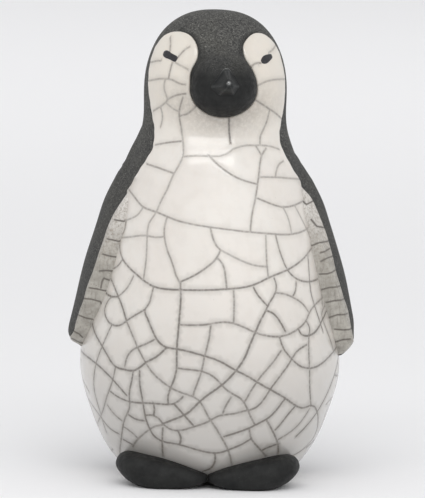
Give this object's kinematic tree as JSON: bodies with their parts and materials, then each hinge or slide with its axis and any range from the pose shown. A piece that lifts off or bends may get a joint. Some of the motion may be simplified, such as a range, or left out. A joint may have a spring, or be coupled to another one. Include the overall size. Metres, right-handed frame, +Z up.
{
  "type": "penguin figurine",
  "caption": "Standing hollow ceramic penguin with folded flippers, bare black clay back and a white crackle glazed front; stands on its base ring and feet.",
  "frame": {"origin": "on the surface that the figurine stands on, under the middle of its bounding box", "axes": "+Z up from the base to the crown; the belly and beak face -Y; +X is the bird's own left"},
  "size_m": [0.0986, 0.0841, 0.1608],
  "materials": {
    "bare_clay": "matte carbon-blackened stoneware with fine pale grog",
    "smooth_clay": "burnished carbon-blackened stoneware, satin",
    "white_crackle_glaze": "glossy warm white glaze with grey-brown craze lines",
    "grey_crackle_glaze": "thin smoke-stained glaze with craze lines across it",
    "dark_oxide_glaze": "near-black oxide, satin"
  },
  "bodies": {
    "root": {"torso_shell": "bare_clay", "head_shell": "bare_clay", "base_slab": "bare_clay", "left_flipper": "bare_clay", "right_flipper": "bare_clay", "tail": "bare_clay", "muzzle": "smooth_clay", "beak": "smooth_clay", "left_foot": "smooth_clay", "right_foot": "smooth_clay", "front_glaze": "white_crackle_glaze", "left_flipper_glaze": "grey_crackle_glaze", "right_flipper_glaze": "grey_crackle_glaze", "left_eye": "dark_oxide_glaze", "right_eye": "dark_oxide_glaze"}
  },
  "joints": []
}
